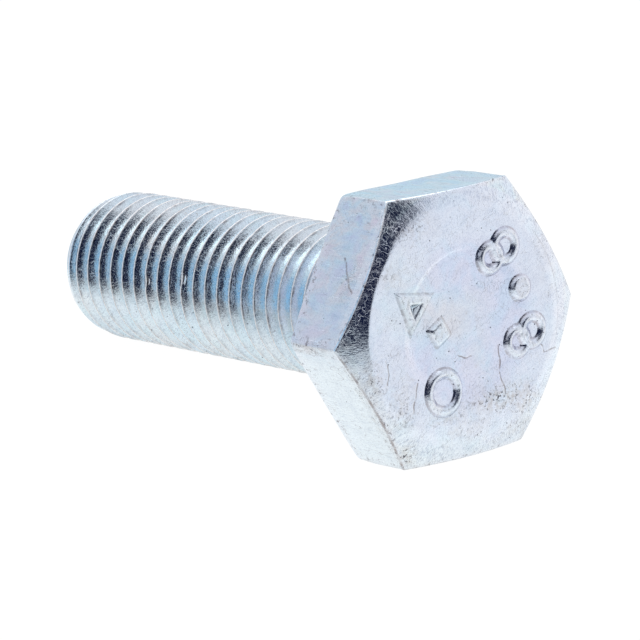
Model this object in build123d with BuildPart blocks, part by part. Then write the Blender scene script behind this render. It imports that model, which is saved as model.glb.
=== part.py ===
from build123d import *
import math
import os

# Hexagon bolt M10 x 1.25 x 30, threaded close up to the head, millimetres.
#
# Frame: the bolt's axis is X. The bearing (under-head) plane is x = 0 and the
# origin is its centre. The head lies towards +X and the thread runs towards -X.
# Two of the hexagon's flats face +Z and -Z, and two of its corners point along
# +Y and -Y.
#
# The bolt is one forging. It is divided here at the features that bolt
# standards name, and the regions meet face to face without overlapping.

# ---------------------------------------------------------------- dimensions
across_flats = 17.0
head_height = 5.9          # bearing plane to the flat top
washer_height = 0.3        # step of the washer face under the hexagon
washer_diameter = 15.8
top_circle_diameter = 15.5  # flat circle left on top by the corner chamfer
chamfer_angle = 26.0       # slope of the corner chamfer from the top plane
corner_round = 0.12        # upright edges of the hexagon
under_round = 0.35         # soft forged edge on the bearing side of the flats
recess_diameter = 9.5      # shallow die recess in the top
recess_depth = 0.08
recess_wall = 0.35         # radial run of the recess's sloping wall

nominal_length = 30.0      # bearing plane to the tip
pitch = 1.25
major_diameter = 9.9
thread_depth = 0.6134 * pitch
neck_length = 2.0          # unthreaded neck, bearing plane to the thread
neck_fillet = 0.6
point_diameter = 8.0       # flat at the tip
lead_first = (0.8, 4.5)    # lead-in taper: distance from the tip, radius
lead_full = 2.5            # distance from the tip where the crests are full

mark_height = 0.22         # raised marks above the top plane
stroke = 0.44              # width of the raised strokes

r_major = major_diameter / 2
r_minor = r_major - thread_depth
r_point = point_diameter / 2
crest_flat = pitch / 8
ridge_base = crest_flat + 2 * thread_depth * math.tan(math.radians(30))
lead_turns = 3
thread_start = -nominal_length + ridge_base / 2 + 0.17
thread_end = -neck_length - ridge_base / 2 - 0.12
main_turns = (thread_end - thread_start) / pitch - lead_turns
slope = math.tan(math.radians(chamfer_angle))

os.makedirs("parts", exist_ok=True)

# ------------------------------------------------------------------ hex head
# Hexagonal prism with soft edges, its corners cut by a cone round the top and
# a shallow round recess in the middle of the top face.
r_top = top_circle_diameter / 2
r_out = across_flats / 2 + 2.5
with BuildPart() as hex_head:
    with BuildSketch(Plane.YZ.offset(washer_height)):
        RegularPolygon(radius=across_flats / 2, side_count=6, major_radius=False)
    extrude(amount=head_height - washer_height)
    fillet(hex_head.edges().filter_by(Axis.X), radius=corner_round)
    fillet(
        hex_head.faces().sort_by(Axis.X)[0].edges(), radius=under_round
    )
    with BuildSketch(Plane.XY):
        with BuildLine():
            Polyline(
                (washer_height - 1, 0),
                (washer_height - 1, r_out),
                (head_height - (r_out - r_top) * slope, r_out),
                (head_height, r_top),
                (head_height, 0),
                close=True,
            )
        make_face()
    revolve(axis=Axis.X, mode=Mode.INTERSECT)
    with BuildSketch(Plane.XY):
        with BuildLine():
            Polyline(
                (head_height + 0.5, 0),
                (head_height + 0.5, recess_diameter / 2 + recess_wall / 2),
                (head_height, recess_diameter / 2 + recess_wall / 2),
                (head_height - recess_depth, recess_diameter / 2 - recess_wall / 2),
                (head_height - recess_depth, 0),
                close=True,
            )
        make_face()
    revolve(axis=Axis.X, mode=Mode.SUBTRACT)
hex_head.part.label = "hex_head"

# --------------------------------------------- washer face, fillet and neck
# The round washer face is the bearing surface. A fillet joins it to the plain
# neck, which is as thick as the thread's crests.
with BuildPart() as washer_face:
    with BuildSketch(Plane.XY):
        with BuildLine():
            Polyline(
                (-neck_length, 0),
                (-neck_length, r_major),
                (-neck_fillet, r_major),
            )
            RadiusArc(
                (-neck_fillet, r_major),
                (0, r_major + neck_fillet),
                -neck_fillet,
            )
            Polyline(
                (0, r_major + neck_fillet),
                (0, washer_diameter / 2 - 0.1),
                (0.1, washer_diameter / 2),
                (washer_height, washer_diameter / 2),
                (washer_height, 0),
                (-neck_length, 0),
            )
        make_face()
    revolve(axis=Axis.X)
washer_face.part.label = "washer_face"

# ---------------------------------------------------------------- shank core
# The solid core of the thread, at its root diameter, with the chamfered point.
point_run = lead_first[0] * (r_minor - r_point) / (lead_first[1] - r_point)
with BuildPart() as shank_core:
    with BuildSketch(Plane.XY):
        with BuildLine():
            Polyline(
                (-nominal_length, 0),
                (-nominal_length, r_point),
                (-nominal_length + point_run, r_minor),
                (-neck_length, r_minor),
                (-neck_length, 0),
                close=True,
            )
        make_face()
    revolve(axis=Axis.X)
shank_core.part.label = "shank_core"

# -------------------------------------------------------------- screw thread
# Right-hand ISO metric ridge, 60 degree flanks, swept round the core.
main_path = Helix(
    pitch=pitch,
    height=main_turns * pitch,
    radius=r_minor,
    center=(thread_start + lead_turns * pitch, 0, 0),
    direction=(1, 0, 0),
)
main_at = main_path @ 0
with BuildPart() as thread_helix:
    with BuildSketch(
        Plane(origin=main_at, x_dir=(0, main_at.Y, main_at.Z), z_dir=main_path % 0)
    ):
        with BuildLine():
            Polyline(
                (0, -ridge_base / 2),
                (thread_depth, -crest_flat / 2),
                (thread_depth, crest_flat / 2),
                (0, ridge_base / 2),
                close=True,
            )
        make_face()
    sweep(path=main_path, is_frenet=True)
thread_helix.part.label = "thread_helix"

# The first turns at the tip, trimmed by the lead-in taper so that the crests
# grow from the chamfered point to full height.
lead_path = Helix(
    pitch=pitch,
    height=lead_turns * pitch,
    radius=r_minor,
    center=(thread_start, 0, 0),
    direction=(1, 0, 0),
)
lead_at = lead_path @ 0
with BuildPart() as thread_lead_in:
    with BuildSketch(
        Plane(origin=lead_at, x_dir=(0, lead_at.Y, lead_at.Z), z_dir=lead_path % 0)
    ):
        with BuildLine():
            Polyline(
                (0, -ridge_base / 2),
                (thread_depth, -crest_flat / 2),
                (thread_depth, crest_flat / 2),
                (0, ridge_base / 2),
                close=True,
            )
        make_face()
    sweep(path=lead_path, is_frenet=True)
    with BuildSketch(Plane.XY):
        with BuildLine():
            Polyline(
                (-nominal_length, 0),
                (-nominal_length, r_point),
                (-nominal_length + lead_first[0], lead_first[1]),
                (-nominal_length + lead_full, r_major),
                (-nominal_length + lead_full + 0.1, r_major + 0.3),
                (-nominal_length + 6, r_major + 0.3),
                (-nominal_length + 6, 0),
                close=True,
            )
        make_face()
    revolve(axis=Axis.X, mode=Mode.INTERSECT)
thread_lead_in.part.label = "thread_lead_in"

# -------------------------------------------------------------- raised marks
# Strength-class figures 8, point, 8, read along one side of the top face.
# Each figure is two joined rings. (y, z) of each ring's centre and its radius.
figures = [
    [((2.35, 3.78), 1.00), ((3.55, 4.33), 1.10)],
    [((4.20, -1.87), 0.98), ((5.42, -1.38), 1.08)],
]
full_stop = ((4.66, 1.47), 0.74)
top = head_height + mark_height
low = head_height - recess_depth - 0.3
with BuildPart() as grade_marks:
    with BuildSketch(Plane.YZ.offset(low)):
        for rings in figures:
            for at, r in rings:
                with Locations(at):
                    Circle(r)
        with Locations(full_stop[0]):
            Circle(full_stop[1])
        for rings in figures:
            for at, r in rings:
                with Locations(at):
                    Circle(r - stroke, mode=Mode.SUBTRACT)
    extrude(amount=top - low)
    add(hex_head.part, mode=Mode.SUBTRACT)
grade_marks.part.label = "grade_marks"

# Generic identity shapes on the other side: a hollow triangle, a square pip
# and a ring.
with BuildPart() as identity_mark:
    with BuildSketch(Plane.YZ.offset(low)):
        with Locations((-4.15, 1.75)):
            RegularPolygon(radius=1.65, side_count=3, rotation=20)
            RegularPolygon(
                radius=1.65 - 2 * stroke, side_count=3, rotation=20, mode=Mode.SUBTRACT
            )
        with Locations(Location((-2.15, -0.15, 0), 30)):
            RectangleRounded(1.25, 1.25, 0.3)
        with Locations((-2.1, -3.95)):
            Circle(1.45)
            Circle(1.45 - stroke, mode=Mode.SUBTRACT)
    extrude(amount=top - low)
    add(hex_head.part, mode=Mode.SUBTRACT)
identity_mark.part.label = "identity_mark"

for piece in (
    hex_head,
    washer_face,
    shank_core,
    thread_helix,
    thread_lead_in,
    grade_marks,
    identity_mark,
):
    export_step(piece.part, "parts/" + piece.part.label + ".step")
    print(
        piece.part.label,
        "solids",
        len(piece.part.solids()),
        "valid",
        piece.part.is_valid,
        "volume",
        round(piece.part.volume, 2),
    )
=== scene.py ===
import math
import bpy
import numpy as np
from mathutils import Matrix, Vector


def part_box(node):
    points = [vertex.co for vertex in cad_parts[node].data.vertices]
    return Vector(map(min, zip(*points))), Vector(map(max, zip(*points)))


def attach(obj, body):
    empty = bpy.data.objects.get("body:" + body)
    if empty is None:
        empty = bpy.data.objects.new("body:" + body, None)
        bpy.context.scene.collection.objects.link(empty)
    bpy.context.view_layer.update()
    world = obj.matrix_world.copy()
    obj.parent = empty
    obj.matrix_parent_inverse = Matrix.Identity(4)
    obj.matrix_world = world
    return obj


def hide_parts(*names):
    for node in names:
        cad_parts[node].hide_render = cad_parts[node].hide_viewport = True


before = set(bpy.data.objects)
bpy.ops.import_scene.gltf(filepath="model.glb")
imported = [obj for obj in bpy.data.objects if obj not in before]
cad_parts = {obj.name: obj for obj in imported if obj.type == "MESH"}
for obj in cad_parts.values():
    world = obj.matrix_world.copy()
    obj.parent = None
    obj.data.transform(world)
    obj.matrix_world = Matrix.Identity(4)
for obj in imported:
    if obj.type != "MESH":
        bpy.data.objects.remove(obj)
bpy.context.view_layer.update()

MM = 0.001

# --------------------------------------------------------------- frame facts
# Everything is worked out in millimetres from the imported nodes' boxes and
# written to the meshes in metres.
head_lo, head_hi = (Vector(c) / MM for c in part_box("hex_head"))
wash_lo, wash_hi = (Vector(c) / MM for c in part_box("washer_face"))
core_lo, core_hi = (Vector(c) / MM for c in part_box("shank_core"))
helix_lo, helix_hi = (Vector(c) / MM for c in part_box("thread_helix"))
marks_lo, marks_hi = (Vector(c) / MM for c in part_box("grade_marks"))

APOTHEM = head_hi.z                 # half the width across flats
X_TOP = head_hi.x                   # flat top of the head
X_UNDER = head_lo.x                 # bearing side of the hexagon
X_MARK = marks_hi.x                 # crown of the raised marks
R_WASHER = wash_hi.z
X_NECK = wash_lo.x
R_MAJOR = helix_hi.z - 0.0005
R_ROOT = core_hi.z
X_TIP = core_lo.x
PITCH = 1.25
SLOPE = math.tan(math.radians(26.0))
R_TOP = 7.75
R_POINT = 4.0
R_RECESS = 4.75
RECESS = 0.08


# -------------------------------------------------------------- small helpers
def smin(a, b, k):
    h = np.clip(0.5 + 0.5 * (b - a) / k, 0, 1)
    return b * (1 - h) + a * h - k * h * (1 - h)


def smax(a, b, k):
    return -smin(-a, -b, k)


def step(e0, e1, x):
    t = np.clip((x - e0) / (e1 - e0), 0, 1)
    return t * t * (3 - 2 * t)


def swell(a, b, c, seed, size):
    """Smooth, repeatable unevenness of about unit height; size is its wavelength in mm."""
    rng = np.random.RandomState(seed)
    total = 0.0
    for _ in range(7):
        d = rng.normal(size=3)
        d *= 2 * np.pi / (size * rng.uniform(0.7, 1.6)) / np.linalg.norm(d)
        total = total + np.sin(d[0] * a + d[1] * b + d[2] * c + rng.uniform(0, 6.283))
    return total / 3.5


def grid_faces(rows, cols, wrap=True):
    i = np.arange(rows - 1)[:, None]
    j = np.arange(cols if wrap else cols - 1)[None, :]
    k = (j + 1) % cols
    return np.stack(
        [i * cols + j, i * cols + k, (i + 1) * cols + k, (i + 1) * cols + j], -1
    ).reshape(-1, 4)


def new_piece(name, verts_mm, faces, material, nodes=(), paint=None, smooth=True):
    """paint gives, per point and from 0 to 1, what the material shows there:
    wear on edges and crests, hairline cracks together with painted shade (thin dark lines beside the thread's crests
    and round the marks' feet), grime (along the thread's crests partly painted shade), fibrous forged skin, the
    tinted film on the flats laid on more heavily on the upper flats as painted shade, and painted light that makes
    part of the lower flats, the top's outer ring and the marks' crowns paler."""
    mesh = bpy.data.meshes.new(name)
    mesh.from_pydata((np.asarray(verts_mm) * MM).tolist(), [], [list(map(int, f)) for f in faces])
    mesh.update()
    if smooth:
        mesh.polygons.foreach_set("use_smooth", [True] * len(mesh.polygons))
    for key in ("wear", "crack_and_shade", "grime", "fibre", "film_and_shade", "painted_light"):
        value = np.zeros(len(mesh.vertices)) if not paint or key not in paint else paint[key]
        mesh.attributes.new(key, "FLOAT", "POINT").data.foreach_set(
            "value", np.asarray(value, np.float32)
        )
    piece = bpy.data.objects.new(name, mesh)
    bpy.context.scene.collection.objects.link(piece)
    mesh.materials.append(material)
    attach(piece, "root")
    if nodes:
        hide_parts(*nodes)
    return piece


# ------------------------------------------------------------------ materials
def zinc(name, grain_axis, thread=False):
    """Bright zinc plate over forged or rolled steel: fine speckled grain, cloudy
    blue and straw tints, small pits, faint scratches and a little soiling."""
    mat = bpy.data.materials.new(name)
    mat.use_nodes = True
    nt = mat.node_tree
    nt.nodes.clear()
    N, L = nt.nodes.new, nt.links.new
    out = N("ShaderNodeOutputMaterial")
    bsdf = N("ShaderNodeBsdfPrincipled")
    L(bsdf.outputs["BSDF"], out.inputs["Surface"])
    coord = N("ShaderNodeTexCoord")
    mm = N("ShaderNodeVectorMath")
    mm.operation = "SCALE"
    mm.inputs["Scale"].default_value = 1000.0
    L(coord.outputs["Object"], mm.inputs[0])

    def noise(scale, detail=3.0, rough=0.55, vec=None, distort=0.0):
        n = N("ShaderNodeTexNoise")
        n.inputs["Scale"].default_value = scale
        n.inputs["Detail"].default_value = detail
        n.inputs["Roughness"].default_value = rough
        n.inputs["Distortion"].default_value = distort
        L((vec or mm).outputs[0], n.inputs["Vector"])
        return n.outputs["Fac"]

    def mapped(scale, turn=(0, 0, 0), shift=(0, 0, 0)):
        m = N("ShaderNodeMapping")
        m.vector_type = "POINT"
        m.inputs["Scale"].default_value = scale
        m.inputs["Rotation"].default_value = [math.radians(v) for v in turn]
        m.inputs["Location"].default_value = shift
        L(mm.outputs[0], m.inputs["Vector"])
        return m

    def ramp(fac, *stops):
        r = N("ShaderNodeValToRGB")
        els = r.color_ramp.elements
        while len(els) < len(stops):
            els.new(0.5)
        for e, (pos, col) in zip(els, stops):
            e.position = pos
            e.color = (*col, 1.0) if not isinstance(col, float) else (col, col, col, 1.0)
        L(fac, r.inputs["Fac"])
        return r.outputs["Color"]

    def mix(fac, a, b, kind="MIX"):
        m = N("ShaderNodeMix")
        m.data_type = "RGBA"
        m.blend_type = kind
        for socket, value in ((0, fac), (6, a), (7, b)):
            if hasattr(value, "links"):
                L(value, m.inputs[socket])
            elif socket == 0:
                m.inputs[0].default_value = value
            else:
                m.inputs[socket].default_value = (*value, 1.0)
        return m.outputs[2]

    def calc(op, a, b=0.0, c=0.0):
        m = N("ShaderNodeMath")
        m.operation = op
        for i, value in enumerate((a, b, c)):
            if hasattr(value, "links"):
                L(value, m.inputs[i])
            else:
                m.inputs[i].default_value = value
        return m.outputs[0]

    def painted(name):
        n = N("ShaderNodeAttribute")
        n.attribute_type = "GEOMETRY"
        n.attribute_name = name
        return n.outputs["Fac"]

    edge, crack_and_shade, grime, fibre = (painted(k) for k in ("wear", "crack_and_shade", "grime", "fibre"))
    film_and_shade, painted_light = painted("film_and_shade"), painted("painted_light")
    cloud = noise(0.24, 2, 0.5)
    mottle = noise(1.3, 3, 0.55, distort=0.4)
    peel = noise(3.2, 2, 0.5)
    speck = noise(7.0, 2, 0.6)
    fleck = noise(9.0 if thread else 7.0, 2, 0.6, vec=mapped(grain_axis, (0, 0, 0), (5, 9, 2)))
    grain = noise(6.0, 2, 0.55, vec=mapped(grain_axis))
    sand = noise(15.0, 1, 0.5, vec=mapped((1.15, 0.9, 0.9), (20, 35, 10)))

    # coordinates that run round and out from the axis, for radial forging fibres
    flat = N("ShaderNodeVectorMath")
    flat.operation = "MULTIPLY"
    flat.inputs[1].default_value = (0, 1, 1)
    L(mm.outputs[0], flat.inputs[0])
    unit = N("ShaderNodeVectorMath")
    unit.operation = "NORMALIZE"
    L(flat.outputs[0], unit.inputs[0])
    length = N("ShaderNodeVectorMath")
    length.operation = "LENGTH"
    L(flat.outputs[0], length.inputs[0])
    round_v = N("ShaderNodeVectorMath")
    round_v.operation = "SCALE"
    round_v.inputs["Scale"].default_value = 104.0
    L(unit.outputs[0], round_v.inputs[0])
    out_v = N("ShaderNodeCombineXYZ")
    L(calc("MULTIPLY", length.outputs["Value"], 4.2), out_v.inputs[0])
    polar = N("ShaderNodeVectorMath")
    polar.operation = "ADD"
    L(round_v.outputs[0], polar.inputs[0])
    L(out_v.outputs[0], polar.inputs[1])
    strand = noise(1.0, 2, 0.55, vec=polar, distort=0.2)

    # very fine lines across the head, left by the forming die
    turned = N("ShaderNodeMapping")
    turned.vector_type = "POINT"
    turned.inputs["Rotation"].default_value = (math.radians(-24), 0, 0)
    L(mm.outputs[0], turned.inputs["Vector"])
    drawn = N("ShaderNodeVectorMath")
    drawn.operation = "MULTIPLY"
    drawn.inputs[1].default_value = (1.0, 0.9, 8.5)
    L(turned.outputs[0], drawn.inputs[0])
    brush = noise(1.0, 2, 0.5, vec=drawn)

    # body colour: pale blue white, drifting a little to periwinkle, cyan and straw
    if thread:
        base = ramp(cloud, (0.34, (0.78, 0.87, 0.92)), (0.50, (0.81, 0.885, 0.915)), (0.66, (0.85, 0.885, 0.89)))
    else:
        base = ramp(
            cloud,
            (0.30, (0.81, 0.84, 0.95)),
            (0.44, (0.83, 0.85, 0.95)),
            (0.54, (0.84, 0.87, 0.95)),
            (0.62, (0.82, 0.88, 0.94)),
            (0.74, (0.87, 0.88, 0.90)),
        )
        tint = ramp(
            noise(0.75, 3, 0.6, vec=mapped((0.5, 1.0, 1.0)), distort=0.6),
            (0.36, (0.72, 0.80, 0.92)),
            (0.46, (0.76, 0.90, 0.94)),
            (0.54, (0.88, 0.90, 0.88)),
            (0.64, (0.90, 0.84, 0.88)),
        )
        # the tinted film, which the paint lays on more heavily on the upper flats: partly a real tint, partly painted
        # shade
        base = mix(film_and_shade, base, tint)
    hue = ramp(
        noise(0.55, 3, 0.6, distort=0.8),
        (0.36, (0.90, 0.99, 1.0)),
        (0.48, (0.97, 0.99, 1.0)),
        (0.56, (1.0, 0.985, 0.98)),
        (0.66, (1.0, 0.97, 0.96)),
    )
    base = mix(0.5 if thread else 0.8, base, hue, "MULTIPLY")
    # painted light: paler plate where this paint is set, standing in for bright reflections
    base = mix(calc("MULTIPLY", painted_light, 0.85), base, (0.94, 0.99, 1.0))
    base = mix(0.45, base, ramp(mottle, (0.30, (0.84, 0.85, 0.88)), (0.52, 1.0)), "MULTIPLY")
    base = mix(0.48 if thread else 0.36, base, ramp(speck, (0.32, (0.66, 0.67, 0.72)), (0.45, 0.96), (0.70, 1.0)), "MULTIPLY")

    base = mix(0.45 if thread else 0.36, base, ramp(sand, (0.34, (0.62, 0.64, 0.70)), (0.45, 1.0), (0.70, 1.0)), "MULTIPLY")

    base = mix(calc("MULTIPLY", fibre, 0.60), base, ramp(strand, (0.38, (0.58, 0.60, 0.67)), (0.48, 1.0)), "MULTIPLY")

    if not thread:
        base = mix(0.24, base, ramp(brush, (0.36, (0.80, 0.82, 0.88)), (0.48, 1.0)), "MULTIPLY")

    # sparse dark pits
    pits = N("ShaderNodeTexVoronoi")
    pits.feature = "F1"
    pits.inputs["Scale"].default_value = 2.1
    L(mm.outputs[0], pits.inputs["Vector"])
    pit = ramp(pits.outputs["Distance"], (0.045, 1.0), (0.12, 0.0))
    pit = mix(1.0, pit, ramp(noise(0.8, 2, 0.5), (0.52, 0.0), (0.57, 1.0)), "MULTIPLY")
    base = mix(pit, base, (0.10, 0.10, 0.12))

    # hairline scratches: thin bands of a stretched noise
    line = None
    for turn, shift, where in (((0, 0, 35), (3, 1, 7), 0.56), ((62, 10, 0), (11, 5, 2), 0.58), ((20, 75, 50), (6, 9, 4), 0.57)):
        n = noise(1.0, 2, 0.4, vec=mapped((0.25, 1.9, 1.9), turn, shift))
        band = calc("SUBTRACT", 1.0, calc("MULTIPLY", calc("ABSOLUTE", calc("SUBTRACT", n, 0.5)), 150.0))
        band = calc("MAXIMUM", band, 0.0)
        gate = ramp(noise(0.6, 2, 0.5, vec=mapped((1, 1, 1), turn, shift)), (where - 0.03, 0.0), (where + 0.03, 1.0))
        band = calc("MULTIPLY", band, gate)
        line = band if line is None else calc("MAXIMUM", line, band)
    base = mix(calc("MULTIPLY", line, 0.6), base, (0.40, 0.37, 0.38))

    # cracks in the plate, thin dark lines along the head's edges, and painted shade beside the thread's crests and
    # round the marks' feet, all broken up along their length
    broken_crack_and_shade = calc("MULTIPLY", crack_and_shade, ramp(noise(4.0, 2, 0.6), (0.34, 0.25), (0.52, 1.0)))
    base = mix(calc("MULTIPLY", broken_crack_and_shade, 0.85 if thread else 0.78), base, (0.16, 0.11, 0.10) if thread else (0.24, 0.19, 0.18))

    # grime: warm grey dust with dark grains in it; along the thread's crests the same paint also serves as painted
    # shade
    dust = calc("MULTIPLY", grime, ramp(noise(2.2, 4, 0.7), (0.40, 0.0), (0.62, 1.0)))
    base = mix(calc("MULTIPLY", dust, 0.55), base, (0.64, 0.58, 0.53))
    dots = calc("MULTIPLY", grime, ramp(noise(5.0, 3, 0.65), (0.57, 0.0), (0.64, 1.0)))
    base = mix(calc("MULTIPLY", dots, 0.85), base, (0.12, 0.11, 0.12))
    soil = ramp(noise(0.5, 5, 0.7, distort=0.8), (0.60, 0.0), (0.78, 0.8))
    soil = mix(1.0, soil, ramp(peel, (0.40, 0.1), (0.62, 1.0)), "MULTIPLY")
    base = mix(soil, base, (0.62, 0.58, 0.55))

    # edges and crests, where the plate is rubbed
    if thread:
        base = mix(calc("MULTIPLY", edge, 0.95), base, (1.0, 0.93, 0.88))
        chips = calc("MULTIPLY", edge, ramp(noise(5.0, 3, 0.7), (0.52, 0.0), (0.60, 1.0)))
        base = mix(calc("MULTIPLY", chips, 0.45), base, (0.34, 0.27, 0.26))
    else:
        base = mix(calc("MULTIPLY", edge, 0.25), base, (0.97, 0.95, 0.96))
        chips = calc("MULTIPLY", edge, ramp(noise(3.0, 4, 0.7), (0.57, 0.0), (0.64, 1.0)))
        base = mix(calc("MULTIPLY", chips, 0.8), base, (0.22, 0.19, 0.20))
    L(base, bsdf.inputs["Base Color"])
    # rubbed crests have a dull skin of corroded zinc, which isn't a mirror
    if thread:
        L(calc("MULTIPLY_ADD", edge, -0.85, 1.0), bsdf.inputs["Metallic"])
    else:
        bsdf.inputs["Metallic"].default_value = 1.0

    rough = calc("MULTIPLY_ADD", mottle, 0.10, 0.05 if thread else 0.08)
    rough = calc("MULTIPLY_ADD", speck, 0.08, rough)
    rough = calc("MULTIPLY_ADD", edge, 0.18 if thread else 0.08, rough)
    rough = calc("MULTIPLY_ADD", dust, 0.25, rough)
    # matt crystals among the bright ones give the plate its sandy sparkle
    matt = ramp(noise(17.0, 2, 0.6), (0.54, 0.0), (0.64, 1.0))
    rough = calc("MULTIPLY_ADD", matt, 0.20 if thread else 0.10, rough)
    streak = calc("MULTIPLY", fibre, ramp(strand, (0.46, 0.0), (0.60, 1.0)))
    rough = calc("MULTIPLY", rough, calc("MULTIPLY_ADD", fibre, -0.28, 1.0))
    rough = calc("MULTIPLY_ADD", streak, 0.13, rough)
    L(rough, bsdf.inputs["Roughness"])

    # relief in mm: forging waviness, orange peel, grain, sparse sharp flecks,
    # radial fibres, scratches, cracks and pits
    tips = ramp(fleck, (0.50, 0.0), (0.72, 1.0))
    relief = calc("MULTIPLY", mottle, 0.012)
    relief = calc("MULTIPLY_ADD", peel, 0.006, relief)
    smooth_skin = calc("MULTIPLY_ADD", fibre, -0.8, 1.0)
    relief = calc("MULTIPLY_ADD", calc("MULTIPLY", grain, smooth_skin), 0.0024 if thread else 0.0030, relief)
    relief = calc("MULTIPLY_ADD", calc("MULTIPLY", tips, smooth_skin), 0.0010 if thread else 0.0024, relief)
    relief = calc("MULTIPLY_ADD", sand, 0.0068 if thread else 0.0030, relief)
    relief = calc("MULTIPLY_ADD", calc("MULTIPLY", strand, fibre), 0.0050, relief)
    if not thread:
        relief = calc("MULTIPLY_ADD", brush, 0.0022, relief)
    relief = calc("MULTIPLY_ADD", line, -0.006, relief)
    relief = calc("MULTIPLY_ADD", broken_crack_and_shade, -0.008, relief)
    relief = calc("MULTIPLY_ADD", dots, -0.012, relief)
    relief = calc("MULTIPLY_ADD", pit, -0.02, relief)
    bump = N("ShaderNodeBump")
    bump.inputs["Strength"].default_value = 1.0
    bump.inputs["Distance"].default_value = 0.001
    L(relief, bump.inputs["Height"])
    L(bump.outputs["Normal"], bsdf.inputs["Normal"])
    return mat


zinc_head = zinc("zinc_plate_head", (1.0, 1.0, 1.0))
zinc_thread = zinc("zinc_plate_thread", (1.8, 0.8, 0.8), thread=True)


# ---------------------------------------------------------------- head's shape
def hex_radius(phi, soft):
    """Distance from the axis to the hexagon's side, corners rounded by soft (mm)."""
    k = math.log(2) / (0.1547 * soft)
    total = 0.0
    for i in range(6):
        c = np.cos(phi - math.radians(30 + 60 * i))
        d = np.where(c > 0.2, APOTHEM / np.maximum(c, 0.2), 1e3)
        total = total + np.exp(-k * (d - APOTHEM))
    return APOTHEM - np.log(total) / k


def near_path(u, v, path, wobble=0.07, seed=7):
    """Distance in mm from (u, v) to a slightly wandering line through path."""
    u = u + wobble * swell(u, v, 0 * u, seed, 0.9)
    v = v + wobble * swell(u, v, 0 * u, seed + 1, 0.8)
    best = np.full(np.shape(u), 1e3)
    for (a, b), (c, d) in zip(path[:-1], path[1:]):
        du, dv = c - a, d - b
        t = np.clip(((u - a) * du + (v - b) * dv) / (du * du + dv * dv), 0, 1)
        best = np.minimum(best, np.hypot(u - a - t * du, v - b - t * dv))
    return best


def blot(u, v, at, size):
    """1 at a point of a surface, falling to 0 at about size (mm) from it."""
    return np.exp(-(((u - at[0]) / size[0]) ** 2 + ((v - at[1]) / size[1]) ** 2))


# hairline cracks in the head's top, as (y, z) in mm
TOP_CRACKS = [
    [(2.60, -1.90), (2.66, -2.70), (2.58, -3.50), (2.92, -4.90)],
    [(6.10, -2.40), (6.30, -2.90), (7.40, -2.90)],
    [(-0.70, -1.90), (0.00, -2.20), (0.35, -2.15)],
    [(-4.20, -3.00), (-4.42, -4.00), (-4.60, -4.80)],
    [(-6.60, -1.10), (-6.35, -2.00), (-6.55, -2.70)],
]
# (y, z), (half width, half height) and strength of the grimy patches
TOP_GRIME = [
    ((2.6, -5.2), (2.8, 0.8), 1.3),
    ((4.6, -5.8), (1.2, 0.8), 1.2),
    ((-1.8, -5.6), (2.0, 0.5), 0.7),
    ((-3.6, 6.6), (1.3, 0.8), 0.6),
    ((0.2, -6.6), (2.4, 0.8), 0.5),
    ((-5.6, -4.4), (1.2, 1.6), 0.7),
    ((-7.6, -2.6), (0.8, 1.5), 0.9),
    ((-4.9, -7.5), (0.6, 0.9), 1.3),
    ((3.9, -7.3), (1.6, 0.5), 0.8),
    ((-4.6, 6.6), (1.0, 0.7), 0.6),
    ((6.6, 3.4), (0.5, 1.4), 0.4),
    ((-5.9, 3.9), (1.0, 0.8), 0.5),
]


def top_paint(y, z):
    crack_and_shade = 0.0 * y
    for i, path in enumerate(TOP_CRACKS):
        crack_and_shade = np.maximum(crack_and_shade, step(0.080 if i == 0 else 0.062, 0.02, near_path(y, z, path, seed=60 + i)))
    grime = 0.0 * y
    for at, size, amount in TOP_GRIME:
        grime = np.maximum(grime, amount * blot(y, z, at, size))
    return crack_and_shade, grime


def top_height(y, z):
    """x of the head's top surface, without the marks."""
    rho = np.hypot(y, z)
    cone = X_TOP - (rho - R_TOP) * SLOPE
    # the edge of the flat circle is crisp at the front and worn round elsewhere
    around = np.degrees(np.arctan2(z, y)) % 360
    crisp = step(126, 142, around) * step(222, 205, around)
    edge_k = 0.30 - 0.22 * crisp
    h = np.clip(0.5 + 0.5 * (cone - X_TOP) / edge_k, 0, 1)
    x = cone * (1 - h) + X_TOP * h - edge_k * h * (1 - h)
    # the recess has a crisp wall on one side and fades out on the other
    soft = 0.17 + 0.80 * (0.5 - 0.5 * np.cos(np.arctan2(z, y) - math.radians(115)))
    wall = step(R_RECESS - soft, R_RECESS + soft * 0.8, rho)
    x = x - RECESS * (1 - wall)
    x = x - 0.012 * top_paint(y, z)[0]
    x = x + 0.012 * swell(y, z, 0 * y, 11, 6.0) * step(9.0, 6.5, rho) - 0.014
    return x


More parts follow.
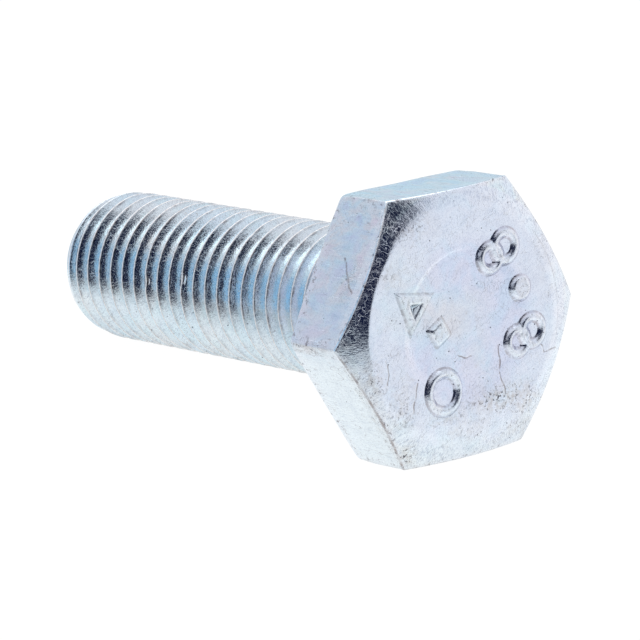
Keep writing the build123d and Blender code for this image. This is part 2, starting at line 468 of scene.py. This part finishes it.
def head_mesh():
    n = 900
    phi = np.linspace(0, 2 * math.pi, n, endpoint=False)
    c, s = np.cos(phi), np.sin(phi)
    sharp = hex_radius(phi, 0.22)
    rows, worn, skin, rim_line = [], [], [], []
    upright = step(9.35, 9.75, sharp)          # the six upright edges
    rubbed = step(9.62, 9.78, sharp)           # their very crests

    def put(rho, x, wear=0.0, fibre=0.0, thin=0.0):
        rows.append(np.stack([np.broadcast_to(x, phi.shape), rho * c, rho * s], 1))
        worn.append(np.broadcast_to(wear, phi.shape))
        skin.append(np.broadcast_to(fibre, phi.shape))
        rim_line.append(np.full(n, float(thin)))

    edge = 0.12                       # soft edge between the chamfer and a flat
    inner = np.arange(0.05, 6.95, 0.05)
    for r in inner:
        rho = np.full(n, r)
        put(rho, top_height(rho * c, rho * s), 0.0, 0.13 * step(4.6, 6.6, rho))
    rim = sharp - edge
    for t in np.linspace(0, 1, 40)[1:]:
        rho = inner[-1] + (rim - inner[-1]) * t
        put(rho, top_height(rho * c, rho * s), step(0.30, 0.0, rim - rho), np.maximum(0.13, step(7.55, 7.95, rho)))
    x_rim = top_height(rim * c, rim * s)
    x_corner = x_rim - edge * SLOPE
    for t in np.linspace(0, 1, 7)[1:]:
        a, b, d = (1 - t) ** 2, 2 * t * (1 - t), t * t
        rho = a * rim + b * sharp + d * sharp
        x = a * x_rim + b * x_corner + d * (x_corner - edge)
        put(rho, x, 1.0, 0.5, math.sin(math.pi * t) ** 0.5)
    # the flats, whose corners get softer towards the bearing side
    x0 = x_corner - edge
    x1 = X_UNDER + 0.42
    for t in np.linspace(0, 1, 46)[1:]:
        x = x0 + (x1 - x0) * t
        blend = step(1.9, 0.2, x - X_UNDER)
        r = sharp
        r_soft = hex_radius(phi, 0.75)
        rho = r * (1 - blend) + r_soft * blend
        y, z = rho * c, rho * s
        bow = 0.018 * swell(x, y, z, 5, 5.0) - 0.018
        worn_here = np.maximum(np.maximum(step(0.35, 0.0, x0 - x), 0.9 * upright), step(0.6, 0.0, x - x1))
        put(rho + bow, x, worn_here, 0.16, 0.0)
        rim_line[-1] = 0.45 * rubbed * (0.5 + 0.5 * swell(x, y, z, 17, 0.7))
    last = rows[-1]
    rho0 = np.hypot(last[:, 1], last[:, 2])
    corner = step(8.9, 9.6, rho0)
    run = 0.30 + 0.35 * corner
    for t in np.linspace(0, 1, 12)[1:]:
        a, b, d = (1 - t) ** 2, 2 * t * (1 - t), t * t
        rho = a * rho0 + b * rho0 + d * (rho0 - run)
        x = a * x1 + b * X_UNDER + d * X_UNDER
        put(rho, x, 1.0 - 0.6 * t)
    base = rho0 - run
    for t in (0.25, 0.5, 0.75):
        put(base * (1 - t) + 2.0 * t, np.full(n, X_UNDER))
    put(np.full(n, 2.0), np.full(n, X_UNDER))
    verts = np.concatenate(rows)
    k = len(rows)
    faces = grid_faces(k, n)[:, ::-1].tolist()
    top = len(verts)
    verts = np.vstack(
        [verts, [[float(top_height(np.array(0.0), np.array(0.0))), 0, 0], [X_UNDER, 0, 0]]]
    )
    for j in range(n):
        m = (j + 1) % n
        faces.append([top, m, j][::-1])
        faces.append([top + 1, (k - 1) * n + j, (k - 1) * n + m][::-1])
    y, z = verts[:, 1], verts[:, 2]
    crack_and_shade, grime = top_paint(y, z)
    on_top = verts[:, 0] > X_TOP - 1.2
    crack_and_shade, grime = crack_and_shade * on_top, grime * on_top
    # a hairline on the flat between 120 and 180 degrees, and grime along the
    # lower front edges and the bearing-side corners
    along = -y * math.sin(math.radians(150)) + z * math.cos(math.radians(150))
    flat_a = (y * math.cos(math.radians(150)) + z * math.sin(math.radians(150)) > 8.3) & ~on_top
    hair = near_path(verts[:, 0], along, [(2.94, -0.96), (3.45, -0.20), (4.15, 0.66), (4.89, 1.55)], seed=80)
    crack_and_shade = np.maximum(crack_and_shade, step(0.09, 0.03, hair) * flat_a)
    grime = np.maximum(grime, 0.8 * blot(verts[:, 0], along, (4.0, 0.5), (0.7, 1.2)) * flat_a)
    turn = np.degrees(np.arctan2(z, y)) % 360
    rho = np.hypot(y, z)
    # thin dark lines along the edge between the top chamfer and the flats and along the upright edges, heavier on
    # some sides of the head near the top, and a short thin dark line on part of the flat circle's edge
    at_rim = np.concatenate(rim_line + [np.zeros(2)])
    patchy = 0.55 + 0.45 * swell(verts[:, 0], y, z, 90, 1.1)
    front = 1.5 * step(180, 186, turn) * step(243, 237, turn) + 0.55 * step(238, 244, turn) * step(300, 292, turn)
    right = step(62, 50, turn) + step(298, 310, turn)
    left = 0.95 * step(119, 123, turn) * step(181, 178, turn)
    front = front + left
    lines = np.where(verts[:, 0] > X_TOP - 1.75, front + 0.55 * right, 1.0)
    crack_and_shade = np.maximum(crack_and_shade, at_rim * np.clip(patchy + 0.15, 0, 1) * lines)
    thin = step(0.07, 0.02, np.abs(rho - 7.78)) * on_top * (step(44, 36, turn) + step(335, 343, turn))
    crack_and_shade = np.maximum(crack_and_shade, 0.5 * thin * np.clip(patchy, 0, 1))
    strip = step(179.6, 180.4, turn) * step(184.5, 182.0, turn) * (verts[:, 0] < X_TOP - 1.0)
    grime = np.maximum(grime, 1.1 * strip * step(X_TOP - 1.2, X_UNDER + 1.5, verts[:, 0]))
    to_rim = hex_radius(np.arctan2(z, y), 0.22) - rho
    band = on_top * step(0.42, 0.12, to_rim) * step(183, 190, turn) * step(240, 234, turn)
    grime = np.maximum(grime, 0.85 * band * np.clip(patchy + 0.1, 0, 1))
    low_edge = step(-3.0, -5.5, z) * step(0.5, 0.0, np.abs(verts[:, 0] - (X_TOP - 1.0)))
    grime = np.maximum(grime, 0.4 * low_edge)
    return verts, faces, {
        "wear": np.concatenate(worn + [np.zeros(2)]),
        "fibre": np.concatenate(skin + [np.zeros(2)]),
        "crack_and_shade": crack_and_shade,
        "grime": grime,
        # tinted film on the flats, laid on more heavily towards +Z: painted shade on the upper flats
        "film_and_shade": (verts[:, 0] < X_TOP - 0.45) * step(8.0, 8.4, np.hypot(y, z))
        * (0.42 + 0.40 * np.clip(z / APOTHEM, -1, 1)),
        # painted light: part of the lower flats, the top's outer ring round the recess and the lower part of its rim
        # are made paler
        "painted_light": np.maximum(
            1.25 * (verts[:, 0] < X_TOP - 0.45) * step(1.0, -2.0, z) * step(0.0, -3.0, y),
            on_top * np.maximum(0.55 * step(4.3, 6.0, rho), 0.8 * step(7.6, 8.0, rho) * step(0.5, -3.0, z)),
        ),
    }


v, f, w = head_mesh()
head = new_piece("hex_head_forging", v, f, zinc_head, ["hex_head"], w)


# ------------------------------------------------- washer face, fillet, neck
def washer_mesh():
    n = 360
    phi = np.linspace(0, 2 * math.pi, n, endpoint=False)
    c, s = np.cos(phi), np.sin(phi)
    fillet = 0.6
    prof = [(X_UNDER + 0.05, 0.5), (X_UNDER + 0.05, R_WASHER - 0.02)]
    for t in np.linspace(0, 1, 6):
        prof.append((X_UNDER - 0.02 - 0.16 * t, R_WASHER - 0.03 * t))
    for t in np.linspace(0, 1, 7)[1:]:
        a = t * math.pi / 2
        prof.append((0.10 - 0.10 * math.sin(a), R_WASHER - 0.03 - 0.12 * (1 - math.cos(a))))
    for r in np.linspace(R_WASHER - 0.2, R_MAJOR + fillet, 20):
        prof.append((0.0, r))
    # under-head fillet, centred at (-fillet, R_MAJOR + fillet)
    for t in np.linspace(0, 1, 14)[1:]:
        a = t * math.pi / 2
        prof.append((-fillet + fillet * math.cos(a), R_MAJOR + fillet - fillet * math.sin(a)))
    for x in np.linspace(-fillet, X_NECK, 14)[1:]:
        prof.append((x, R_MAJOR))
    prof.append((X_NECK + 0.001, R_MAJOR - 0.05))
    prof.append((X_NECK + 0.001, 0.5))
    rows = []
    for x, r in prof:
        wob = 1.0 + 0.0006 * swell(0 * c + x, r * c, r * s, 21, 4.0)
        rows.append(np.stack([np.full(n, x), r * wob * c, r * wob * s], 1))
    verts = np.concatenate(rows)
    k = len(rows)
    faces = grid_faces(k, n)[:, ::-1].tolist()
    a = len(verts)
    verts = np.vstack([verts, [[prof[0][0], 0, 0], [prof[-1][0], 0, 0]]])
    for j in range(n):
        m = (j + 1) % n
        faces.append([a, m, j][::-1])
        faces.append([a + 1, (k - 1) * n + j, (k - 1) * n + m][::-1])
    return verts, faces


v, f = washer_mesh()
washer = new_piece("washer_face_and_neck", v, f, zinc_head, ["washer_face"])


# -------------------------------------------------------------------- thread
CREST_AT = X_TIP + 0.6903   # a crest's x at the top of the bolt


def envelope(x):
    """Largest radius at x: the chamfered point and the growing first crests."""
    return np.interp(
        x,
        [X_TIP, X_TIP + 0.8, X_TIP + 1.5, X_TIP + 2.5, X_TIP + 3.2, 0],
        [R_POINT, 4.55, 4.80, 4.93, R_MAJOR, R_MAJOR],
    )


def thread_radius(x, phi):
    turn = (phi - math.pi / 2) / (2 * math.pi)
    u = (x - CREST_AT) / PITCH - turn
    side = (u - np.round(u)) * PITCH            # + towards the head
    s = np.abs(side)
    flat = 0.023
    flank = R_MAJOR - (s - flat) / math.tan(math.radians(30))
    r = smin(np.full_like(flank, R_MAJOR), flank, 0.020)
    r = smax(r, np.full_like(r, R_ROOT), 0.18)
    # rolled crests are a little uneven
    y, z = r * np.cos(phi), r * np.sin(phi)
    high = step(R_MAJOR - 0.35, R_MAJOR, r)
    r = r - high * 0.018 * (0.5 + 0.5 * swell(x, y, z, 31, 1.6))
    # run-out under the head: the groove shallows into the neck
    out = step(X_NECK - 1.1, X_NECK - 0.05, x)
    r = r * (1 - out) + R_MAJOR * out
    r = smin(r, envelope(x), 0.06)
    # knocks on the crests: (x, angle in degrees, radius of the knock, depth)
    for kx, ka, kr, kd in (
        (-19.95, 173, 0.34, 0.24),
        (-16.15, 166, 0.42, 0.28),
        (-12.42, 165, 0.24, 0.16),
        (-26.05, 181, 0.22, 0.10),
        (-12.1, 120, 0.35, 0.10),
        (-8.4, 305, 0.40, 0.12),
        (-19.3, 20, 0.40, 0.12),
    ):
        da = np.angle(np.exp(1j * (phi - math.radians(ka)))) * R_MAJOR
        near = np.exp(-(((x - kx) / kr) ** 2 + (da / (kr * 1.1)) ** 2))
        r = r - kd * near * high
    # painted shade: a thin dark line beside each crest on the head's side, standing in for the shade of the groove
    crest_shade = step(0.02, 0.045, side) * step(0.15, 0.08, side) * (0.5 + 0.5 * swell(x, y, z, 33, 1.1))
    return r, high, np.clip(crest_shade, 0, 1)


def thread_mesh():
    n = 300
    phi = np.linspace(0, 2 * math.pi, n, endpoint=False)
    c, s = np.cos(phi), np.sin(phi)
    deg = np.degrees(phi)
    xs = np.concatenate([np.arange(X_TIP, X_NECK - 0.02, 0.0265), [X_NECK]])
    rows, worn, grime_and_crest_shade, crest_shade_rows = [], [], [], []
    # the tip's flat end, slightly dished by shearing
    for r in np.linspace(0.3, R_POINT - 0.12, 26):
        dish = 0.05 * (1 - (r / R_POINT) ** 2) + 0.006 * swell(r * c, r * s, 0 * c, 41, 2.0)
        rows.append(np.stack([X_TIP + 0.008 + np.clip(dish, 0, None), r * c, r * s], 1))
        worn.append(np.zeros(n))
        grime_and_crest_shade.append(np.full(n, 0.3))
        crest_shade_rows.append(np.zeros(n))
    for t in np.linspace(0, 1, 6)[1:-1]:
        a = t * math.pi / 2
        r = R_POINT - 0.12 + 0.10 * math.sin(a)
        rows.append(np.stack([np.full(n, X_TIP + 0.008 + 0.08 * (1 - math.cos(a))), r * c, r * s], 1))
        worn.append(np.full(n, 0.6))
        grime_and_crest_shade.append(np.full(n, 0.3))
        crest_shade_rows.append(np.zeros(n))
    for x in xs[3:]:
        r, high, crest_shade = thread_radius(np.full(n, x), phi)
        # the painted shade beside the crests is darker between about 92 and 205 degrees round the bolt
        shaded_side = 0.30 + 0.70 * step(92, 125, deg) * step(205, 178, deg)
        crest_shade_rows.append(shaded_side * crest_shade * (X_TIP + 1.2 < x < X_NECK - 0.6))
        worn.append(step(0.955, 0.995, high) * (x < X_NECK - 0.6))
        # grime paint along each crest, which also stands in for the shade beside it: partly grime, partly painted
        # shade
        grime_and_crest_shade.append(0.16 * step(0.45, 0.80, high) * (x < X_NECK - 0.6))
        rows.append(np.stack([np.full(n, x), r * c, r * s], 1))
    verts = np.concatenate(rows)
    k = len(rows)
    faces = grid_faces(k, n).tolist()
    a = len(verts)
    verts = np.vstack([verts, [[X_TIP + 0.058, 0, 0], [X_NECK, 0, 0]]])
    for j in range(n):
        m = (j + 1) % n
        faces.append([a, m, j])
        faces.append([a + 1, (k - 1) * n + j, (k - 1) * n + m])
    # facing: rows run towards +X, so the outside is on the other side
    faces = [q[::-1] for q in faces]
    return verts, faces, {
        "wear": np.concatenate(worn + [np.zeros(2)]),
        "grime": np.concatenate(grime_and_crest_shade + [np.zeros(2)]),
        "crack_and_shade": np.concatenate(crest_shade_rows + [np.zeros(2)]),
    }


v, f, w = thread_mesh()
thread = new_piece(
    "rolled_thread", v, f, zinc_thread, ["shank_core", "thread_helix", "thread_lead_in"], w
)


# --------------------------------------------------------------- raised marks
def ring(y, z, at, r, w):
    return np.abs(np.hypot(y - at[0], z - at[1]) - (r - w / 2)) - w / 2


def disc(y, z, at, r):
    return np.hypot(y - at[0], z - at[1]) - r


def polygon(y, z, at, r, sides, turn):
    d = np.full(y.shape, -1e9)
    for i in range(sides):
        a = math.radians(turn) + (2 * i + 1) * math.pi / sides
        d = np.maximum(d, (y - at[0]) * math.cos(a) + (z - at[1]) * math.sin(a) - r * math.cos(math.pi / sides))
    return d


def raised(name, shapes, nodes, run=0.31):
    """Closed, softly domed pads that grow out of the head's top."""
    verts, faces, foot_shade, lit = [], [], [], []
    count = 0
    h = 0.030
    for centre, half, field, *rim in shapes:
        m = int(half / h)
        gy = centre[0] + np.arange(-m, m + 1) * h
        gz = centre[1] + np.arange(-m, m + 1) * h
        Y, Z = np.meshgrid(gy, gz, indexing="ij")
        d = field(Y, Z)
        t = (run * 0.56 - d) / run
        rise = smax(smin(t, np.ones_like(t), 0.30), np.zeros_like(t), 0.30)
        floor = top_height(Y, Z)
        crown = (X_MARK - 0.012) - floor
        x_top = floor + crown * rise - 0.020 * step(run * 0.45, run * 0.68, d)
        x_top = x_top - 0.014 * (0.5 + 0.5 * swell(Y, Z, 0 * Y, 51, 0.9)) * rise
        x_low = floor - 0.10
        keep = d < run * 0.70
        cell = keep[:-1, :-1] & keep[1:, :-1] & keep[1:, 1:] & keep[:-1, 1:]
        used = np.zeros(keep.shape, bool)
        for di in (0, 1):
            for dj in (0, 1):
                used[di:di + cell.shape[0], dj:dj + cell.shape[1]] |= cell
        index = -np.ones(keep.shape, int)
        index[used] = np.arange(used.sum())
        k = int(used.sum())
        verts.append(np.stack([x_top[used], Y[used], Z[used]], 1))
        verts.append(np.stack([x_low[used], Y[used], Z[used]], 1))
        # painted shade: a thin dark line round the foot of each pad, in the crease where it meets the head's top
        at_foot = rim[0](Y, Z) if rim else d
        line = step(-0.02, 0.10, at_foot) * step(0.24, 0.14, at_foot) * (0.7 + 0.3 * swell(Y, Z, 0 * Y, 55, 0.7))
        foot_shade += [line[used], np.zeros(k)]
        lit += [step(0.1, -0.1, d)[used], np.zeros(k)]
        ci, cj = np.nonzero(cell)
        a, b = index[ci, cj], index[ci + 1, cj]
        c, e = index[ci + 1, cj + 1], index[ci, cj + 1]
        q = np.stack([a, b, c, e], 1)
        faces += (q + count).tolist()
        faces += (q[:, ::-1] + count + k).tolist()
        pad = np.pad(cell, 1)
        for (di, dj), (p, r) in {
            (-1, 0): ((0, 1), (0, 0)),
            (1, 0): ((1, 0), (1, 1)),
            (0, -1): ((0, 0), (1, 0)),
            (0, 1): ((1, 1), (0, 1)),
        }.items():
            open_side = ~pad[1 + di:1 + di + cell.shape[0], 1 + dj:1 + dj + cell.shape[1]] & cell
            oi, oj = np.nonzero(open_side)
            u = index[oi + p[0], oj + p[1]] + count
            w = index[oi + r[0], oj + r[1]] + count
            faces += np.stack([w, u, u + k, w + k], 1).tolist()
        count += 2 * k
    lit = np.concatenate(lit)
    # the pads' tops are made paler as painted light, and get a little grime
    paint = {"crack_and_shade": 0.75 * np.clip(np.concatenate(foot_shade), 0, 1), "painted_light": 0.6 * lit, "grime": 0.45 * lit}
    return new_piece(name, np.concatenate(verts), faces, zinc_head, nodes, paint)


STROKE = 0.44
figures = [
    [((2.35, 3.78), 1.00), ((3.55, 4.33), 1.10)],
    [((4.20, -1.87), 0.98), ((5.42, -1.38), 1.08)],
]


def figure_field(rings):
    (a, ra), (b, rb) = rings
    return lambda y, z: smin(ring(y, z, a, ra, STROKE), ring(y, z, b, rb, STROKE), 0.12)


raised(
    "grade_figures",
    [
        ((2.95, 4.05), 2.3, figure_field(figures[0])),
        ((4.82, -1.62), 2.3, figure_field(figures[1])),
        ((4.66, 1.47), 1.3, lambda y, z: disc(y, z, (4.66, 1.47), 0.74)),
    ],
    ["grade_marks"],
)
raised(
    "identity_shapes",
    [
        (
            (-4.15, 1.75), 2.3,
            lambda y, z: np.maximum(
                polygon(y, z, (-4.15, 1.75), 1.60, 3, 20),
                -polygon(y, z, (-4.15, 1.75), 1.60 - 2 * STROKE, 3, 20) - 0.14,
            ),
            lambda y, z: polygon(y, z, (-4.15, 1.75), 1.60, 3, 20),
        ),
        (
            (-2.15, -0.15), 1.4,
            lambda y, z: smax(
                np.abs((y + 2.15) * math.cos(math.radians(30)) + (z + 0.15) * math.sin(math.radians(30))) - 0.62,
                np.abs(-(y + 2.15) * math.sin(math.radians(30)) + (z + 0.15) * math.cos(math.radians(30))) - 0.62,
                0.25,
            ),
        ),
        ((-2.10, -3.95), 2.0, lambda y, z: ring(y, z, (-2.10, -3.95), 1.43, STROKE)),
    ],
    ["identity_mark"],
)


# ------------------------------------------------------------- floor and light
# The bolt lies on the edge of its lower flat and on its tip, so the surface it
# lies on leans from the head to the tip in the bolt's own frame.
lean = math.atan2(APOTHEM - R_MAJOR, (X_UNDER + 0.3) - (X_TIP + 2.6))
floor_mesh = bpy.data.meshes.new("studio_floor")
rings_n, around = 40, 96
fv = [(0.0, 0.0, 0.0)]
for i in range(1, rings_n + 1):
    r = 0.036 * i / rings_n
    for j in range(around):
        a = 2 * math.pi * j / around
        fv.append((r * math.cos(a), r * math.sin(a), 0.0))
ff = [(0, 1 + j, 1 + (j + 1) % around) for j in range(around)]
for i in range(rings_n - 1):
    for j in range(around):
        m = (j + 1) % around
        ff.append((1 + i * around + j, 1 + (i + 1) * around + j, 1 + (i + 1) * around + m, 1 + i * around + m))
floor_mesh.from_pydata(fv, [], ff)
floor_mesh.update()
floor = bpy.data.objects.new("studio_floor", floor_mesh)
bpy.context.scene.collection.objects.link(floor)
pivot = Vector(((X_UNDER + 0.3) * MM, 0, (-APOTHEM - 0.005) * MM))
floor.matrix_world = Matrix.Translation(pivot) @ Matrix.Rotation(lean, 4, "Y") @ Matrix.Translation((-0.012, 0, 0))
paper = bpy.data.materials.new("white_paper")
paper.use_nodes = True
pn = paper.node_tree
pb = pn.nodes["Principled BSDF"]
pb.inputs["Base Color"].default_value = (0.90, 0.93, 0.95, 1)
pb.inputs["Roughness"].default_value = 0.9
pb.inputs["Specular IOR Level"].default_value = 0.1
# lit from below as a light table is, so that only a trace of shadow is left
glow = pn.nodes.new("ShaderNodeEmission")
tone = pn.nodes.new("ShaderNodeMix")
tone.data_type = "RGBA"
tone.inputs[6].default_value = (1.00, 1.025, 1.04, 1)
tone.inputs[7].default_value = (1, 1, 1, 1)
glow.inputs["Strength"].default_value = 1.05
seen = pn.nodes.new("ShaderNodeLightPath")
share = pn.nodes.new("ShaderNodeMapRange")
share.inputs["To Min"].default_value = 0.70
share.inputs["To Max"].default_value = 0.93
pn.links.new(seen.outputs["Is Camera Ray"], share.inputs["Value"])
pn.links.new(seen.outputs["Is Camera Ray"], tone.inputs[0])
pn.links.new(tone.outputs[2], glow.inputs["Color"])
# the sheet is brightest round the bolt and dims towards the front
p_coord = pn.nodes.new("ShaderNodeTexCoord")
ahead = pn.nodes.new("ShaderNodeVectorMath")
ahead.operation = "DOT_PRODUCT"
ahead.inputs[1].default_value = (0.2, -0.98, 0.0)
pn.links.new(p_coord.outputs["Object"], ahead.inputs[0])
fade = pn.nodes.new("ShaderNodeMapRange")
fade.inputs["From Min"].default_value = 0.008
fade.inputs["From Max"].default_value = 0.022
fade.inputs["To Min"].default_value = 1.05
fade.inputs["To Max"].default_value = 0.60
pn.links.new(ahead.outputs["Value"], fade.inputs["Value"])
level = pn.nodes.new("ShaderNodeMix")
level.data_type = "FLOAT"
pn.links.new(seen.outputs["Is Camera Ray"], level.inputs[0])
pn.links.new(fade.outputs["Result"], level.inputs[2])
level.inputs[3].default_value = 1.05
pn.links.new(level.outputs[0], glow.inputs["Strength"])
both = pn.nodes.new("ShaderNodeMixShader")
pn.links.new(share.outputs[0], both.inputs[0])
pn.links.new(pb.outputs[0], both.inputs[1])
pn.links.new(glow.outputs[0], both.inputs[2])
pn.links.new(both.outputs[0], pn.nodes["Material Output"].inputs["Surface"])
floor_mesh.materials.append(paper)

world = bpy.data.worlds.new("studio")
bpy.context.scene.world = world
world.use_nodes = True
wn = world.node_tree
wn.nodes.clear()


def wnode(kind, **kw):
    node = wn.nodes.new(kind)
    for key, value in kw.items():
        setattr(node, key, value)
    return node


def wmath(op, a, b=0.0, c=0.0, clamp=False):
    m = wnode("ShaderNodeMath", operation=op, use_clamp=clamp)
    for i, value in enumerate((a, b, c)):
        if hasattr(value, "links"):
            wn.links.new(value, m.inputs[i])
        else:
            m.inputs[i].default_value = value
    return m.outputs[0]


w_coord = wnode("ShaderNodeTexCoord")


def toward(direction, inner_deg, outer_deg):
    """1 within inner_deg of a direction, falling smoothly to 0 at outer_deg."""
    d = Vector(direction).normalized()
    dot = wnode("ShaderNodeVectorMath", operation="DOT_PRODUCT")
    wn.links.new(w_coord.outputs["Generated"], dot.inputs[0])
    dot.inputs[1].default_value = d
    mr = wnode("ShaderNodeMapRange", interpolation_type="SMOOTHSTEP")
    mr.inputs["From Min"].default_value = math.cos(math.radians(outer_deg))
    mr.inputs["From Max"].default_value = math.cos(math.radians(inner_deg))
    wn.links.new(dot.outputs["Value"], mr.inputs["Value"])
    return mr.outputs["Result"]


def wmix(fac, a, b):
    m = wnode("ShaderNodeMix", data_type="RGBA")
    for socket, value in ((0, fac), (6, a), (7, b)):
        if hasattr(value, "links"):
            wn.links.new(value, m.inputs[socket])
        elif socket == 0:
            m.inputs[0].default_value = value
        else:
            m.inputs[socket].default_value = (*value, 1.0)
    return m.outputs[2]


# Light from all round. Its tinted areas stand in for the soft boxes and walls of
# a studio and its dark area for an unlit gap beside the camera on the head's side.
# Their directions and tints are fixed in the bolt's frame.
sky = wmix(toward((0.0, 0.98, -0.15), 18, 55), (0.80, 0.84, 0.92), (0.99, 1.00, 1.03))
sky = wmix(toward((-0.761, 0.615, 0.206), 15, 45), sky, (0.64, 0.77, 0.87))
sky = wmix(toward((-0.761, -0.486, 0.43), 22, 45), sky, (0.645, 0.685, 0.79))
sky = wmix(toward((-0.17, -0.92, 0.32), 24, 35), sky, (0.41, 0.65, 0.90))
sky = wmix(toward((-0.13, -0.45, 0.88), 8, 26), sky, (1.04, 1.04, 1.08))
sky = wmix(toward((-0.761, 0.615, -0.206), 6, 16), sky, (0.30, 0.30, 0.34))
sky = wmix(toward((-0.56, 0.82, -0.10), 6, 15), sky, (0.34, 0.36, 0.42))
# the gap: a dark room above the far edge of the white sheet
gap = wmath("MAXIMUM", toward((0.93, -0.30, 0.25), 21, 28), toward((0.92, -0.36, -0.05), 20, 27))
for at, inner, outer in (
    ((0.87, 0.15, 0.44), 11, 16),
    ((0.86, 0.02, 0.51), 9, 13),
    ((0.84, 0.24, 0.48), 7, 11),
    ((0.75, -0.62, 0.00), 12, 20),
):
    gap = wmath("MAXIMUM", gap, toward(at, inner, outer))
split_z = wnode("ShaderNodeSeparateXYZ")
wn.links.new(w_coord.outputs["Generated"], split_z.inputs[0])
sheet_edge = wnode("ShaderNodeMapRange", interpolation_type="SMOOTHSTEP")
sheet_edge.inputs["From Min"].default_value = -0.285
sheet_edge.inputs["From Max"].default_value = -0.205
wn.links.new(split_z.outputs["Z"], sheet_edge.inputs["Value"])
under = wmath("SUBTRACT", 1.0, sheet_edge.outputs["Result"])
ahead_side = toward((0.93, -0.30, -0.20), 30, 50)
sky = wmix(wmath("MULTIPLY", under, ahead_side), sky, (0.80, 0.86, 0.91))
sky = wmix(wmath("MULTIPLY", gap, sheet_edge.outputs["Result"]), sky, (0.006, 0.011, 0.040))
back = wnode("ShaderNodeBackground")
wn.links.new(sky, back.inputs["Color"])
back.inputs["Strength"].default_value = 1.0
plain = wnode("ShaderNodeBackground")
plain.inputs["Color"].default_value = (1, 1, 1, 1)
plain.inputs["Strength"].default_value = 1.05
rays = wnode("ShaderNodeLightPath")
choose = wnode("ShaderNodeMixShader")
wn.links.new(rays.outputs["Is Camera Ray"], choose.inputs[0])
wn.links.new(back.outputs[0], choose.inputs[1])
wn.links.new(plain.outputs[0], choose.inputs[2])
w_out = wnode("ShaderNodeOutputWorld")
wn.links.new(choose.outputs[0], w_out.inputs["Surface"])


def softbox(name, at, aim, size, power, colour=(1, 1, 1)):
    light = bpy.data.lights.new(name, "AREA")
    light.shape = "RECTANGLE"
    light.size, light.size_y = size
    light.energy = power
    light.color = colour
    lamp = bpy.data.objects.new(name, light)
    bpy.context.scene.collection.objects.link(lamp)
    lamp.location = at
    lamp.rotation_euler = (Vector(aim) - Vector(at)).to_track_quat("-Z", "Y").to_euler()
    return lamp


softbox("overhead_softbox", (-0.10, 0.05, 0.50), (-0.01, 0, 0), (0.6, 0.5), 1.0, (0.97, 0.99, 1.0))

bpy.context.scene.view_settings.view_transform = "Standard"
bpy.context.scene.view_settings.look = "None"

# ---------------------------------------------------------------------- camera
az, el, roll, dist = (math.radians(51.079), math.radians(11.874), math.radians(-3.838), 316.587)
shift_x = X_TOP - 5.375             # the fitted frame's origin along the axis
back_v = Vector((math.sin(az) * math.cos(el), -math.cos(az) * math.cos(el), math.sin(el)))
right0 = Vector((math.cos(az), math.sin(az), 0))
up0 = back_v.cross(right0)
right_v = right0 * math.cos(roll) + up0 * math.sin(roll)
up_v = -right0 * math.sin(roll) + up0 * math.cos(roll)
where = right_v * -5.609 + up_v * -0.370 + back_v * dist + Vector((shift_x, 0, 0))
cam_data = bpy.data.cameras.new("camera")
cam = bpy.data.objects.new("camera", cam_data)
bpy.context.scene.collection.objects.link(cam)
cam_data.sensor_width = 36.0
cam_data.lens = 5041.7 / 640 * 36.0
cam_data.clip_start, cam_data.clip_end = 0.02, 20.0
cam.matrix_world = Matrix(
    (
        (right_v.x, up_v.x, back_v.x, where.x * MM),
        (right_v.y, up_v.y, back_v.y, where.y * MM),
        (right_v.z, up_v.z, back_v.z, where.z * MM),
        (0, 0, 0, 1),
    )
)
bpy.context.scene.camera = cam
